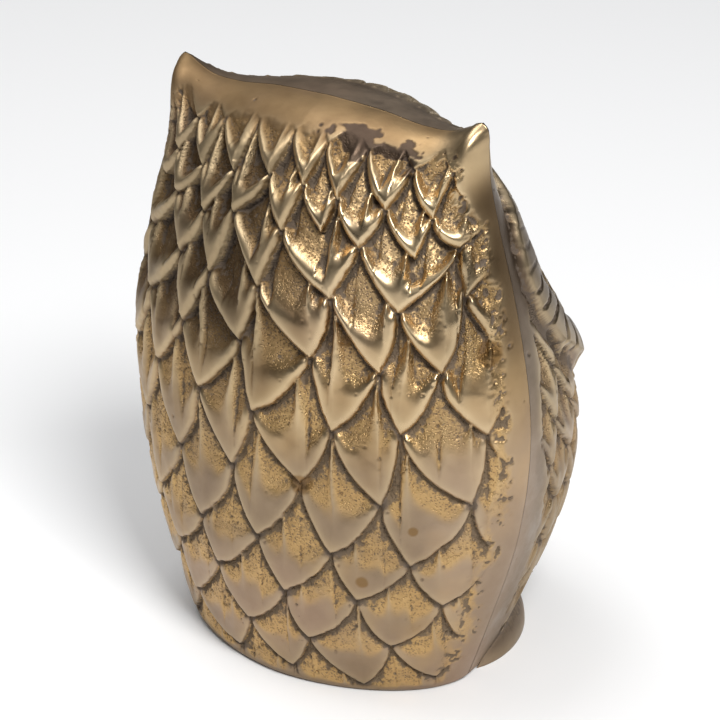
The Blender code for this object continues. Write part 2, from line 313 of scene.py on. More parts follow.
# Feather relief in millimetres, in the flattest and in the boldest rows
HOLLOW_DEPTH = (0.26, 2.01)
SHIELD_SWELL = (0.08, 0.38)
RIB_WIDTH = (0.10, 0.21)  # share of the feather's width
RIB_HEIGHT = (0.12, 0.37)
RIM_WIDTH = (0.45, 1.55)
RIM_DROP = (0.36, 0.98)
CREASE_DEPTH = (0.62, 0.72)
CREASE_WIDTH = (0.95, 0.85)
SHADE_DEPTH = (0.20, 0.45)
SHADE_REACH = (1.8, 2.8)
# Dark creases: dirt and painted shade under the rim of the row above, and a thin painted shadow line
# along each feather's own lower edge
GRIME_SHADE_WIDTH = (1.70, 0.45)
GRIME_SHADE_AMOUNT = (1.0, 0.40)  # shares from 0 to 1, as the next one
EDGE_GRIME_SHADE = (0.35, 0.05)
SHIELD_DOME = 0.22  # how far the flattest feathers bulge between their sides
SHIELD_SIDE = 0.14  # how tall the smooth shield is at a feather's side, as a share of its width
SHIELD_MIDDLE = 0.22  # and how much taller in its middle

# Casting pits
PIT_TRIES = 16000
PIT_RADII = (0.20, 0.48)
PIT_DEPTH = 0.30
PIT_MARGIN = 4  # grid points kept clear at the edges
PIT_WIDEST = 40  # grid points from a pit's middle

# How far the feathers stop from the seam and the crown, in millimetres
REAR_BAND = 5.8
REAR_BAND_MIDDLE = -1.4  # what the band gains above the flank's widest place
REAR_BAND_EAR = 2.6  # and what it gains below the ears
FRONT_BAND = 4.0
FRONT_BAND_LOW = 5.0
CROWN_LINE = 0.955
FRONT_CROWN_LINE = 0.975
FOOT_LINE = (0.8, 2.2)
BASE_ROUND_UP = 0.9  # how far up the base's rounded edge starts, and how far in it goes
BASE_ROUND_IN = 0.5

# Marks on the back, in millimetres across and up the surface: round amber stains (with radius) and a
# dark crust by the crown (with half width and half height)
STAINS = (
    (-8.5, 46.3, 2.6),
    (-20.4, 27.9, 1.5),
    (-16.7, 76.7, 1.2),
    (-43.6, 73.8, 2.8),
    (-30.0, 40.5, 1.0),
)
CRUST = (-15.5, 114.5, 12.0, 4.2)

# Facial disc on the front, in millimetres: eye centre from the middle line, and reach from there
EYE_ACROSS = 17.0
EYE_Z = 78.0
EYE_BALL = 8.5
DISC_OUT = 38.0
DISC_IN = 17.5
DISC_UP = 22.0
DISC_DOWN = 25.0
DISC_SQUARENESS = 2.3
DISC_NOTCHES = 26.0  # slits of the rim in half a turn
DISC_RAYS = 22.0
RIM_INNER = (0.70, 0.76)  # where the rim rises from the rayed disc, as shares of its reach
RIM_HEIGHT = 1.2
RIM_BULGE = 0.9
NOTCH_DEPTH = 0.50
RAY_HEIGHT = 0.9
RAYS_FROM = (10.5, 12.0)  # millimetres from the eye's centre, as the next ones
SOCKET = (8.6, 9.6, 10.6, 11.8)
PUPIL = (3.3, 3.9)
EYE_HEIGHT = 2.6
PUPIL_DEPTH = 0.7
SOCKET_DEPTH = 0.8
LOBE_ACROSS = 47.0
LOBE_Z = 58.4
LOBE_WIDE = 7.0
LOBE_TALL = 5.5
LOBE_HEIGHT = 0.9
BEAK_HIGH = 77.0
BEAK_LOW = 56.0
BEAK_WIDTH = 5.6
BEAK_HEIGHT = 3.6


def row_tips(above, middle, width):
    """Tips about one width apart, each hanging between two neighbouring tips of the row above."""
    halfway = 0.5 * (above[1:] + above[:-1])
    play = ROW_PLAY * np.diff(above)
    first = int(np.abs(halfway - middle).argmin())
    tips = [halfway[first] + np.clip(middle - halfway[first], -play[first], play[first])]
    for side in (1, -1):
        last, current = first, tips[0]
        while True:
            wanted = current + side * width
            stop = len(halfway) if side > 0 else -1
            options = [i for i in range(last + side, stop, side)
                       if side * (halfway[i] - current) > ROW_LEAST * width]
            if not options:
                break
            last = min(options, key=lambda i: abs(halfway[i] - wanted))
            current = float(np.clip(wanted, halfway[last] - play[last], halfway[last] + play[last]))
            tips.append(current)
    return np.sort(np.array(tips))


def feather_lattice(rows, climb_at, seed):
    """Tips and notches of each row of feathers; a notch lies under a tip of the row above."""
    made = np.random.default_rng(SEED * 1000 + seed)
    lattice = []
    above = above_levels = None
    for share, width, middle, bold, reach in rows:
        if above is None:
            tips = middle + np.arange(-0.5 * FIRST_ROW_SPAN, 0.5 * FIRST_ROW_SPAN, width)
        else:
            tips = row_tips(above, middle, width)
        tips += made.uniform(-ROW_JITTER, ROW_JITTER, len(tips)) * width
        levels = climb_at(share) + made.uniform(-ROW_JITTER, ROW_JITTER, len(tips)) * width * 0.8
        notches = 0.5 * (tips[1:] + tips[:-1])
        notch_levels = levels[1:] + 0.9 * width
        if above is not None:
            nearest = np.abs(notches[:, None] - above[None, :]).argmin(axis=1)
            notches = above[nearest]
            notch_levels = above_levels[nearest] - 0.4
        lattice.append(
            {"tips": tips[1:-1], "levels": levels[1:-1], "notches": notches,
             "notch_levels": notch_levels, "bold": bold, "width": width, "reach": reach,
             "tones": made.uniform(-1.0, 1.0, len(tips) - 2)}
        )
        above, above_levels = tips, levels
    return lattice


def between(pair, bold):
    """The value for feathers this bold, from the pair for the flattest and the boldest ones."""
    return pair[0] + (pair[1] - pair[0]) * bold


def row_edge(row, across, pointed):
    """The lower edge of one row: its level, its slope, and each point's feather and place on it."""
    cell = np.clip(np.searchsorted(row["notches"], across) - 1, 0, len(row["tips"]) - 1)
    tip = row["tips"][cell]
    right = across > tip
    end = np.where(right, row["notches"][cell + 1], row["notches"][cell])
    end_level = np.where(right, row["notch_levels"][cell + 1], row["notch_levels"][cell])
    half = np.maximum(np.abs(end - tip), 1.0)
    place = np.clip(np.abs(across - tip) / half, 0.0, 1.0)
    bow = np.sqrt(1.0 - EDGE_BOW * place**2)
    most = 1.0 - math.sqrt(1.0 - EDGE_BOW)
    height = pointed * place + (1.0 - pointed) * (1.0 - bow) / most
    slope = pointed + (1.0 - pointed) * EDGE_BOW * place / bow / most
    rise = end_level - row["levels"][cell]
    return row["levels"][cell] + rise * height, np.abs(rise) * slope / half, cell, across - tip, place


def feather_relief(lattice, across, up, pointed, crumbs):
    """Height of the feathers in millimetres, with the masks of their hollows and of the dark creases,
    where dirt and painted shade lie.

    Every feather comes out from under the row above through two hollows, parted by a rib, and
    swells to a smooth shield with a rounded lower rim.
    """
    shape = across.shape
    edge = np.full(shape, 4.0)  # millimetres up from the feather's own lower edge
    over = np.full(shape, 60.0)  # millimetres down from the edge of the feathers above
    aside, place, tone = np.zeros((3, *shape))
    bold, width, reach = (np.full(shape, lattice[-1][key]) for key in ("bold", "width", "reach"))
    waiting = np.ones(shape, bool)
    gap = np.full(shape, 60.0)
    for row in lattice:
        level, slope, cell, off_middle, where = row_edge(row, across, between(pointed, row["bold"]))
        distance = (up - level) / np.sqrt(1.0 + slope**2)
        here = waiting & (distance >= 0.0)
        edge[here] = distance[here]
        over[here] = gap[here]
        aside[here] = off_middle[here]
        place[here] = where[here]
        bold[here] = row["bold"]
        width[here] = row["width"]
        reach[here] = row["reach"]
        tone[here] = row["tones"][cell[here]]
        waiting &= ~here
        gap = -distance
    over[waiting] = gap[waiting]
    reach = reach * width * (1.0 + 0.18 * tone)
    shield = (SHIELD_SIDE + (SHIELD_MIDDLE + 0.05 * tone) * (1.0 - place) ** 1.3) * width
    arm = 1.0 - ramp(edge, 0.45 * shield, 1.45 * shield)
    sunk = 1.0 - ramp(over, 0.25 * reach, 1.40 * reach)
    rib_width = between(RIB_WIDTH, bold) * width * (0.30 + 0.70 * ramp(over, 0.0, reach))
    rib = np.clip(1.0 - np.abs(aside + 0.04 * tone * width) / rib_width, 0.0, 1.0)
    hollow = sunk * (1.0 - arm) * (1.0 - 0.92 * rib)
    height = -between(HOLLOW_DEPTH, bold) * hollow
    swell = np.clip(1.0 - ((edge - 0.6 * shield) / (0.8 * shield)) ** 2, 0.0, 1.0)
    height += between(SHIELD_SWELL, bold) * swell * (1.0 - 0.8 * sunk * (1.0 - arm))
    height += SHIELD_DOME * (1.0 - place**2) * (1.0 - bold)
    height += between(RIB_HEIGHT, bold) * rib * (1.0 - arm)
    height -= between(RIM_DROP, bold) * (1.0 - np.clip(edge / between(RIM_WIDTH, bold), 0.0, 1.0)) ** 2
    under = 1.0 - 0.55 * rib
    height -= between(CREASE_DEPTH, bold) * np.exp(-((over / between(CREASE_WIDTH, bold)) ** 2)) * under
    height -= between(SHADE_DEPTH, bold) * np.exp(-over / between(SHADE_REACH, bold)) * under
    # The crease mask paints dirt and shade: darker under the rim of the row above, in the corners at the
    # notches and along the feather's own lower edge
    patchy = soft_noise(across, up, 5.0, 51) + 0.6 * soft_noise(across, up, 2.2, 52)
    wide = between(GRIME_SHADE_WIDTH, bold) * (1.0 + 0.45 * crumbs + 0.45 * patchy)
    crease = np.exp(-((over / np.maximum(wide, 0.12)) ** 2)) * between(GRIME_SHADE_AMOUNT, bold)
    crease *= 1.0 - 0.45 * ramp(patchy, 0.1, 0.8)
    corner = np.exp(-np.maximum(over + 0.6 * edge - 0.7, 0.0) / 0.8) * between(GRIME_SHADE_AMOUNT, bold)
    crease = np.maximum(crease, corner) * (1.0 - 0.5 * rib)
    crease = np.maximum(crease, between(EDGE_GRIME_SHADE, bold) * np.exp(-((edge / 0.15) ** 2)))
    return height, hollow, np.clip(crease, 0.0, 1.0)


def add_pits(height, across, up, weight, seed):
    """Sinks small casting pits into the height, more of them where the weight is high."""
    made = np.random.default_rng(SEED * 1000 + seed)
    rows, columns = height.shape
    dirt_and_shade = np.zeros_like(height)
    step_up = up[1, 0] - up[0, 0]
    for _ in range(PIT_TRIES):
        row = int(made.integers(PIT_MARGIN, rows - PIT_MARGIN))
        column = int(made.integers(PIT_MARGIN, columns - PIT_MARGIN))
        keep, share, flat = made.uniform(0.0, 1.0, 3)
        if keep > weight[row, column]:
            continue
        radius = between(PIT_RADII, share**2)
        step_across = abs(across[row, 1] - across[row, 0]) + 1e-6
        tall = int(radius / step_up) + 2
        wide = min(int(radius / step_across) + 2, PIT_WIDEST)
        window = (slice(max(row - tall, 0), row + tall + 1),
                  slice(max(column - wide, 0), column + wide + 1))
        dx = across[window] - across[row, column]
        dy = (up[window] - up[row, column]) * (0.8 + 0.6 * flat)
        bowl = np.clip(1.0 - (dx * dx + dy * dy) / radius**2, 0.0, 1.0)
        height[window] -= PIT_DEPTH * (0.35 + 0.65 * share) * bowl
        dirt_and_shade[window] = np.maximum(dirt_and_shade[window], bowl)
    return dirt_and_shade


def rear_relief(grid, across, up, climb_at):
    """Rows of feathers over the back, fading out raggedly towards the seam and the crown."""
    to_seam = np.abs(across).max(axis=1)[:, None] - np.abs(across)
    lower = 1.0 - ramp(up, climb_at(0.35), climb_at(0.60))
    crumbs = soft_noise(across, up, 1.3, 14) + 0.7 * soft_noise(across, up, 0.7, 15)
    wavy = across + 0.7 * soft_noise(across, up, 9.0, 11) + 0.07 * crumbs
    wavy_up = up + 0.6 * soft_noise(across, up, 8.0, 12) + (0.04 + 0.10 * lower) * crumbs
    droop = ramp(up, climb_at(0.70), climb_at(0.95)) * (across / 30.0) ** 2 * 4.0
    lattice = feather_lattice(BACK_ROWS, climb_at, 3)
    height, hollow, crease = feather_relief(lattice, wavy, wavy_up + droop, POINTED_REAR, crumbs)
    ragged = 2.2 * soft_noise(across, up, 4.0, 13) + 0.9 * crumbs
    band = REAR_BAND + REAR_BAND_MIDDLE * ramp(up, climb_at(0.48), climb_at(0.62))
    band += REAR_BAND_EAR * ramp(up, climb_at(0.84), climb_at(0.94))
    crown_line = climb_at(CROWN_LINE)
    crown = 1.0 - ramp(up + 0.7 * ragged, crown_line - 2.5, crown_line + 2.0)
    foot = ramp(up, *FOOT_LINE)
    mask = ramp(to_seam + ragged, band, band + 2.4) * crown * foot
    depth = ramp(to_seam + 0.4 * ragged, band - 1.0, band + 4.5) * foot
    depth *= 1.0 - ramp(up + 0.4 * ragged, crown_line - 6.0, crown_line + 2.5)
    stipple = soft_noise(across, up, 0.8, 16) + 0.8 * soft_noise(across, up, 0.45, 20)
    height += 0.09 * stipple * hollow
    height += 0.12 * soft_noise(across, up, 5.5, 17) + 0.05 * soft_noise(across, up, 2.6, 18)
    frayed = ramp(to_seam + ragged, band - 1.0, band + 1.0) * crown * foot
    frayed *= 1.0 - ramp(to_seam, band + 1.0, band + 5.0)
    height = height * depth - 0.40 * frayed * np.clip(crumbs, 0.0, 1.0)
    weight = np.clip(0.20 * hollow + 0.30 * crease + 0.20 * frayed, 0.0, 1.0) * np.maximum(mask, frayed)
    dirt_and_shade = add_pits(height, across, up, weight + 0.002, 21)
    height += 0.05 * soft_noise(across, up, 14.0, 19) * ramp(to_seam, 0.5, 6.0) * foot
    crease = np.maximum(crease * mask, 0.9 * frayed * ramp(crumbs, 0.22, 0.65))
    blot = soft_noise(across, up, 2.6, 24) + 0.4 * crumbs
    stain = np.zeros_like(height)
    for stain_across, stain_up, radius in STAINS:
        away = np.hypot(across - stain_across, up - stain_up) / radius + 0.16 * blot
        stain = np.maximum(stain, 1.0 - ramp(away, 0.65, 1.0))
    crust_across, crust_up, crust_wide, crust_tall = CRUST
    away = np.hypot((across - crust_across) / crust_wide, (up - crust_up) / crust_tall) + 0.60 * blot
    crust = 1.0 - ramp(away, 0.62, 0.80)
    height -= 0.10 * crust
    hollow = np.maximum(hollow * mask, 0.35 * frayed)
    return height, {"crease": crease, "hollow": hollow, "pits": dirt_and_shade, "stain": stain, "crust": crust}


def front_relief(grid, across, up, climb_at):
    """The facial disc with its notched rim, small feathers above it and long ones on the chest."""
    to_seam = np.abs(across).max(axis=1)[:, None] - np.abs(across)
    side = np.abs(across)
    z = grid[..., 2] / MM
    crumbs = soft_noise(across, up, 1.3, 34) + 0.7 * soft_noise(across, up, 0.7, 35)
    wavy = across + 0.6 * soft_noise(across, up, 7.0, 31) + 0.10 * crumbs
    wavy_up = up + 0.5 * soft_noise(across, up, 7.0, 32) + 0.12 * crumbs
    lattice = feather_lattice(FRONT_ROWS, climb_at, 5)
    height, hollow, crease = feather_relief(lattice, wavy, wavy_up, POINTED_FRONT, crumbs)

    outward = np.clip((side - EYE_ACROSS) / DISC_OUT, 0.0, None)
    inward = np.clip((EYE_ACROSS - side) / DISC_IN, 0.0, None)
    above = np.clip((z - EYE_Z) / DISC_UP, 0.0, None)
    below = np.clip((EYE_Z - z) / DISC_DOWN, 0.0, None)
    reach = (outward + inward) ** DISC_SQUARENESS + (above + below) ** DISC_SQUARENESS
    reach **= 1.0 / DISC_SQUARENESS
    turn = np.arctan2(z - EYE_Z, side - EYE_ACROSS)
    from_eye = np.hypot(side - EYE_ACROSS, z - EYE_Z)
    rim = reach + 0.035 * soft_noise(across, up, 6.0, 36)
    corner = np.exp(-(((side - LOBE_ACROSS) / LOBE_WIDE) ** 2) - ((z - LOBE_Z) / LOBE_TALL) ** 2)
    inside = 1.0 - ramp(rim, 0.955 - 0.09 * corner, 1.0 + 0.05 * corner)
    ring = ramp(rim, *RIM_INNER) * inside
    notch_turn = turn * DISC_NOTCHES / math.pi + 1.6 * rim + 0.35 * soft_noise(across, up, 4.0, 38)
    notch_turn = np.abs(notch_turn % 1.0 - 0.5) * 2.0
    faint = (1.0 - 0.80 * ramp(z, 74.0, 88.0)) * (1.0 - ramp(corner, 0.2, 0.6))
    notches = (1.0 - ramp(notch_turn, 0.10, 0.26)) * ramp(rim, 0.74, 0.88) * faint
    ring_height = RIM_HEIGHT + RIM_BULGE * np.clip(1.0 - ((rim - 0.86) / 0.14) ** 2, 0.0, 1.0)
    ray_turn = np.abs((turn * DISC_RAYS / math.pi + 0.5 * rim) % 1.0 - 0.5) * 2.0
    rays = ramp(ray_turn, 0.15, 0.75)
    ray_zone = ramp(from_eye, *RAYS_FROM) * (1.0 - ramp(rim, 0.66, 0.72))
    disc = ring * (ring_height - NOTCH_DEPTH * notches)
    disc += (1.0 - ring) * (0.6 + RAY_HEIGHT * ray_zone * (rays - 0.5))
    socket = ramp(from_eye, *SOCKET[:2]) * (1.0 - ramp(from_eye, *SOCKET[2:]))
    eye = np.clip(1.0 - (from_eye / EYE_BALL) ** 2, 0.0, 1.0) ** 0.5
    pupil = 1.0 - ramp(from_eye, *PUPIL)
    disc += EYE_HEIGHT * eye - PUPIL_DEPTH * pupil * eye - SOCKET_DEPTH * socket + LOBE_HEIGHT * corner

    band = FRONT_BAND + FRONT_BAND_LOW * (1.0 - ramp(up, climb_at(0.30), climb_at(0.55)))
    ragged = 1.4 * soft_noise(across, up, 4.0, 33) + 0.5 * crumbs
    panel = ramp(to_seam + ragged, band, band + 2.0) * ramp(up, *FOOT_LINE)
    crown_line = climb_at(FRONT_CROWN_LINE)
    panel *= 1.0 - ramp(up, crown_line, crown_line + 1.0)
    disc_mask = inside * ramp(to_seam, 1.5, 4.0)
    height = height * panel * (1.0 - disc_mask) + disc * disc_mask
    shade = np.exp(-(((rim - 1.03) / 0.03) ** 2)) * panel
    height -= 0.5 * shade
    # dirt and painted shade in the rim's notches and between the rays
    crease = crease * panel * (1.0 - disc_mask) + disc_mask * np.maximum(
        notches * ring, ray_zone * (1.0 - rays) * 0.7
    )
    # painted shade just outside the disc's rim
    crease = np.maximum(crease, 0.8 * shade)
    hollow = hollow * panel * (1.0 - disc_mask) + 0.7 * disc_mask * ray_zone
    height += 0.08 * hollow * crumbs + 0.10 * soft_noise(across, up, 5.0, 37) * panel
    beak_span = np.clip((BEAK_HIGH - z) / (BEAK_HIGH - BEAK_LOW), 0.0, 1.0)
    beak_width = BEAK_WIDTH * np.sin(math.pi * beak_span**0.75) ** 0.7 + 0.01
    beak = np.clip(1.0 - (side / beak_width) ** 1.6, 0.0, 1.0)
    on_beak = ramp(beak, 0.0, 0.2)
    beak_height = (1.0 + BEAK_HEIGHT * beak) * np.sin(math.pi * beak_span) ** 0.5
    height = height * (1.0 - on_beak) + beak_height * on_beak
    beak_edge = np.exp(-(((side - beak_width) / 0.5) ** 2)) * (beak_width > 1.0)
    # dirt and painted shade along the beak's edge
    crease = np.maximum(crease * (1.0 - on_beak), beak_edge)
    hollow = hollow * (1.0 - on_beak)
    dirt_and_shade = add_pits(height, across, up, 0.15 * hollow + 0.1 * crease + 0.002, 41)
    return height, {"crease": crease, "hollow": hollow, "pits": dirt_and_shade, "stain": np.zeros_like(height),
                    "crust": 0.3 * ring * disc_mask}


def zip_strip(first, first_at, second, second_at):
    """Triangles between two lines of vertex numbers, matched by their places along the strip."""
    faces = []
    i = j = 0
    while i < len(first) - 1 or j < len(second) - 1:
        if j == len(second) - 1 or (i < len(first) - 1 and first_at[i + 1] <= second_at[j + 1]):
            faces.append((first[i], first[i + 1], second[j]))
            i += 1
        else:
            faces.append((first[i], second[j + 1], second[j]))
            j += 1
    return [face for face in faces if len(set(face)) == 3]


def grid_faces(rows, columns, start):
    index = start + np.arange((rows + 1) * (columns + 1)).reshape(rows + 1, columns + 1)
    quads = np.stack([index[:-1, :-1], index[:-1, 1:], index[1:, 1:], index[1:, :-1]], axis=-1)
    return index, quads.reshape(-1, 4)


def mesh_from(name, points, quads, triangles, attributes):
    """A smooth-shaded mesh of the faces, without unused points, each face turned outwards."""
    loops = np.concatenate([quads.reshape(-1), np.asarray(triangles, int).reshape(-1)])
    used, loops = np.unique(loops, return_inverse=True)
    sizes = np.concatenate([np.full(len(quads), 4), np.full(len(triangles), 3)])
    starts = np.concatenate([[0], np.cumsum(sizes)[:-1]])
    mesh = bpy.data.meshes.new(name)
    mesh.vertices.add(len(used))
    mesh.vertices.foreach_set("co", points[used].astype(np.float32).reshape(-1))
    mesh.loops.add(len(loops))
    mesh.loops.foreach_set("vertex_index", loops.reshape(-1).astype(np.int32))
    mesh.polygons.add(len(sizes))
    mesh.polygons.foreach_set("loop_start", starts.astype(np.int32))
    mesh.update(calc_edges=True)
    for label, values in attributes.items():
        layer = mesh.attributes.new(label, "FLOAT", "POINT")
        layer.data.foreach_set("value", values[used].astype(np.float32))
    mesh.shade_smooth()
    return mesh


def add_piece(name, mesh, finish, node):
    piece = bpy.data.objects.new(name, mesh)
    bpy.context.scene.collection.objects.link(piece)
    mesh.materials.append(finish)
    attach(piece, "root")
    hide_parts(node)
    return piece


def half_casting(name, rear, detail, relief, finish, node):
    """One hollow half: a fine outside with its relief, a plain hollow, and flat lands that close it."""
    rows, columns = detail
    grid, across, up = even_grid(body_points, rear, rows, columns)
    normal = grid_normals(grid, rear)
    middle_z = grid[:, columns // 2, 2] / HEIGHT

    def climb_at(share):
        """How far up the outside, in millimetres, a share of the figure's height lies."""
        if share < 0.0:
            return share * HEIGHT / MM
        return float(np.interp(share, middle_z, up[:, 0]))

    height, masks = relief(grid, across, up, climb_at)
    low = blurred(height, 3) - height
    wide = blurred(height, 8) - height
    # cavity: dirt and painted shade in the creases, in the relief's low places and in the pits
    cavity = np.clip(0.85 * masks["crease"] + 1.0 * low + 0.25 * wide + 0.25 * masks["pits"], 0.0, 1.0)
    wear = np.clip(-2.0 * low - 0.8 * wide, 0.0, 1.0)
    lift = np.clip(1.0 - grid[..., 2] / (BASE_ROUND_UP * MM), 0.0, 1.0) ** 2 * BASE_ROUND_IN
    outer = grid + normal * ((height - lift) * MM)[..., None]
    side = 0.5 * GAP if rear else -0.5 * GAP
    keep_side = np.maximum if rear else np.minimum
    outer[..., 1] = keep_side(outer[..., 1], side)
    for edge in (outer[:, 0], outer[:, -1], outer[-1]):
        edge[:, 1] = side
    outer[0, :, 2] = 0.0
    outer[..., 2] = np.maximum(outer[..., 2], 0.0)

    core_rows, core_columns = rows // CORE_SHARE, columns // CORE_SHARE
    inner, _, _ = even_grid(core_points, rear, core_rows, core_columns)
    inner[..., 1] = keep_side(inner[..., 1], side)
    outer_index, outer_quads = grid_faces(rows, columns, 0)
    inner_index, inner_quads = grid_faces(core_rows, core_columns, outer_index.size)
    inner_index[-1] = inner_index[-1, 0]
    inner_quads, top = inner_quads[:-core_columns], inner_index[-2:]
    triangles = [(top[0, i], top[1, 0], top[0, i + 1]) for i in range(core_columns)]
    points = np.concatenate([outer.reshape(-1, 3), inner.reshape(-1, 3)])

    def along(line):
        length = length_along(points[line])
        return length / length[-1]

    land = [*outer_index[:, 0], *outer_index[-1, 1:], *outer_index[-2::-1, -1]]
    rim = [*inner_index[:, 0], *inner_index[-2::-1, -1]]
    triangles += zip_strip(rim, along(rim), land, along(land))
    base, inner_base = list(outer_index[0]), list(inner_index[0])
    triangles += zip_strip(base, along(base), inner_base, along(inner_base))
    quads = np.concatenate([outer_quads, inner_quads[:, ::-1]])
    if not rear:
        quads = quads[:, ::-1]
        triangles = [face[::-1] for face in triangles]
    points[:, 1] += SEAM_Y
    masks.update(cavity=cavity, wear=wear)
    attributes = {
        label: np.concatenate([masks[label].reshape(-1), np.full(inner_index.size, value)])
        for label, value in CORE_LOOK.items()
    }
    mesh = mesh_from(name, points, quads, triangles, attributes)
    return add_piece(name, mesh, finish, node)


# Colours of the metal, its dirt and the painted shade, highlight and floor reflection, linear RGBA
BACK_LIGHT = (0.45, 0.305, 0.155, 1.0)
BACK_BROWN = (0.25, 0.155, 0.076, 1.0)
FACE_LIGHT = (0.27, 0.21, 0.155, 1.0)
FACE_BROWN = (0.16, 0.122, 0.088, 1.0)
FOOT_LIGHT = (0.25, 0.175, 0.10, 1.0)
FOOT_BROWN = (0.13, 0.085, 0.048, 1.0)
SHADED = (0.095, 0.060, 0.032, 1.0)
FLOOR_REFLECTION_TAN = (0.44, 0.325, 0.235, 1.0)
TARNISH = (0.270, 0.200, 0.138, 1.0)
BLUSH = (0.40, 0.275, 0.195, 1.0)
RUBBED_AND_HIGHLIGHT = (0.70, 0.55, 0.34, 1.0)
PIT_GOLD = (0.60, 0.39, 0.16, 1.0)
GRIME_AND_SHADE = (0.115, 0.086, 0.063, 1.0)
AMBER = (0.20, 0.108, 0.034, 1.0)
CRUST_BROWN = (0.080, 0.056, 0.043, 1.0)

SPECK_SCALE = 2100.0  # cells per metre: specks about half a millimetre apart
GRAIN_DEPTH = 0.00010  # metres, as the next one
PITTED_DEPTH = 0.00030


def node_tree(name):
    made = bpy.data.materials.new(name)
    made.use_nodes = True
    return made, made.node_tree.nodes, made.node_tree.links, made.node_tree.nodes["Principled BSDF"]


def aged_brass(name, light, brown, roughness, gilt=1.0):
    """Cast brass: polished where it is rubbed, brown in patches, dark dirt and painted shade in grooves
    and pits, with painted shade, highlight and floor reflection in zones of the figure.

    The attributes cavity, wear, hollow, stain and crust, each from 0 to 1, say where. roughness is
    the range of the metal's own roughness, and gilt how golden the hollows are.
    """
    made, nodes, links, shader = node_tree(name)
    coords = nodes.new("ShaderNodeTexCoord")
    place = nodes.new("ShaderNodeSeparateXYZ")
    links.new(coords.outputs["Object"], place.inputs["Vector"])

    def plug(value, socket):
        if isinstance(value, bpy.types.NodeSocket):
            links.new(value, socket)
        else:
            socket.default_value = value

    def noise(scale, detail, roughness, stretch=(1.0, 1.0, 1.0)):
        """Noise with features about 1 / scale metres wide."""
        mapping = nodes.new("ShaderNodeMapping")
        mapping.inputs["Scale"].default_value = stretch
        links.new(coords.outputs["Object"], mapping.inputs["Vector"])
        texture = nodes.new("ShaderNodeTexNoise")
        texture.inputs["Scale"].default_value = scale
        texture.inputs["Detail"].default_value = detail
        texture.inputs["Roughness"].default_value = roughness
        links.new(mapping.outputs["Vector"], texture.inputs["Vector"])
        return texture.outputs["Fac"]

    def stepped(source, low, high, to_low=0.0, to_high=1.0):
        """to_low where the source is below low, to_high above high, a smooth step between."""
        node = nodes.new("ShaderNodeMapRange")
        node.interpolation_type = "SMOOTHSTEP"
        node.inputs["From Min"].default_value = low
        node.inputs["From Max"].default_value = high
        node.inputs["To Min"].default_value = to_low
        node.inputs["To Max"].default_value = to_high
        links.new(source, node.inputs["Value"])
        return node.outputs["Result"]

    def zone(axis, low, high, to_low=0.0, to_high=1.0):
        """A step along one axis of the figure, between two shares of its height."""
        return stepped(place.outputs[axis], low * HEIGHT, high * HEIGHT, to_low, to_high)

    def mixed(factor, first, second):
        node = nodes.new("ShaderNodeMix")
        node.data_type = "RGBA"
        plug(factor, node.inputs["Factor"])
        plug(first, node.inputs["A"])
        plug(second, node.inputs["B"])
        return node.outputs["Result"]

    def math_node(operation, first, second):
        node = nodes.new("ShaderNodeMath")
        node.operation = operation
        plug(first, node.inputs[0])
        plug(second, node.inputs[1])
        return node.outputs["Value"]

    def times(first, *others):
        for other in others:
            first = math_node("MULTIPLY", first, other)
        return first

    def plus(first, second):
        return math_node("ADD", first, second)

    def most(first, second):
        return math_node("MAXIMUM", first, second)

    def less(first, second):
        return math_node("SUBTRACT", first, second)

    def attribute(label):
        node = nodes.new("ShaderNodeAttribute")
        node.attribute_name = label
        return node.outputs["Fac"]

    cavity, wear, hollow = attribute("cavity"), attribute("wear"), attribute("hollow")
    stain, crust = attribute("stain"), attribute("crust")

    # Where the metal differs: low down and at the crown. Painted light: shade on the right flank high up,
    # a floor reflection on it low down, shade on the upper back's left and a highlight on its right
    low_down = zone("Z", 0.62, 0.36)
    crown = times(zone("Z", 0.90, 0.955), zone("X", -0.265, -0.20))
    flank = times(zone("X", -0.255, -0.300), zone("Z", 0.52, 0.74), zone("Z", 0.95, 0.88))
    low_flank = times(zone("X", -0.24, -0.31), zone("Z", 0.62, 0.40), zone("Y", 0.05, 0.11))
    shaded = times(zone("X", -0.12, 0.08), zone("Z", 0.42, 0.66))
    patchy = stepped(noise(50.0, 3.0, 0.6), 0.2, 0.5, 0.55, 1.0)
    shaded = times(shaded, patchy, less(1.0, times(crown, 0.55)))
    lit = times(zone("X", 0.0, -0.13), zone("Z", 0.64, 0.76), less(1.0, most(crown, flank)))

    # The metal's own colour and its tarnish, with painted shade, painted highlight and painted floor
    # reflection
    colour = mixed(stepped(noise(38.0, 4.0, 0.6), 0.38, 0.68), light, brown)
    # painted shade over the upper back's left
    colour = mixed(times(shaded, 0.96), colour, SHADED)
    # painted highlight over the upper back's right, in the rubbed colour
    colour = mixed(times(lit, 0.45), colour, RUBBED_AND_HIGHLIGHT)
    # painted shade on the right flank high up
    colour = mixed(times(flank, 0.70), colour, SHADED)
    # painted shadow along the bottom edge, where the figure meets the floor
    colour = mixed(zone("Z", 0.060, 0.008, 0.0, 0.58), colour, SHADED)
    tarnish = times(low_down, stepped(noise(60.0, 3.0, 0.5), 0.25, 0.55), 0.85)
    colour = mixed(tarnish, colour, TARNISH)
    # painted reflection of the white floor: a paler tan on the lower right flank
    colour = mixed(times(low_flank, 0.45), colour, FLOOR_REFLECTION_TAN)
    colour = mixed(stepped(noise(26.0, 3.0, 0.5), 0.48, 0.70, 0.0, 0.45), colour, BLUSH)
    colour = mixed(times(wear, stepped(low_down, 0.0, 1.0, 0.5, 0.28)), colour, RUBBED_AND_HIGHLIGHT)

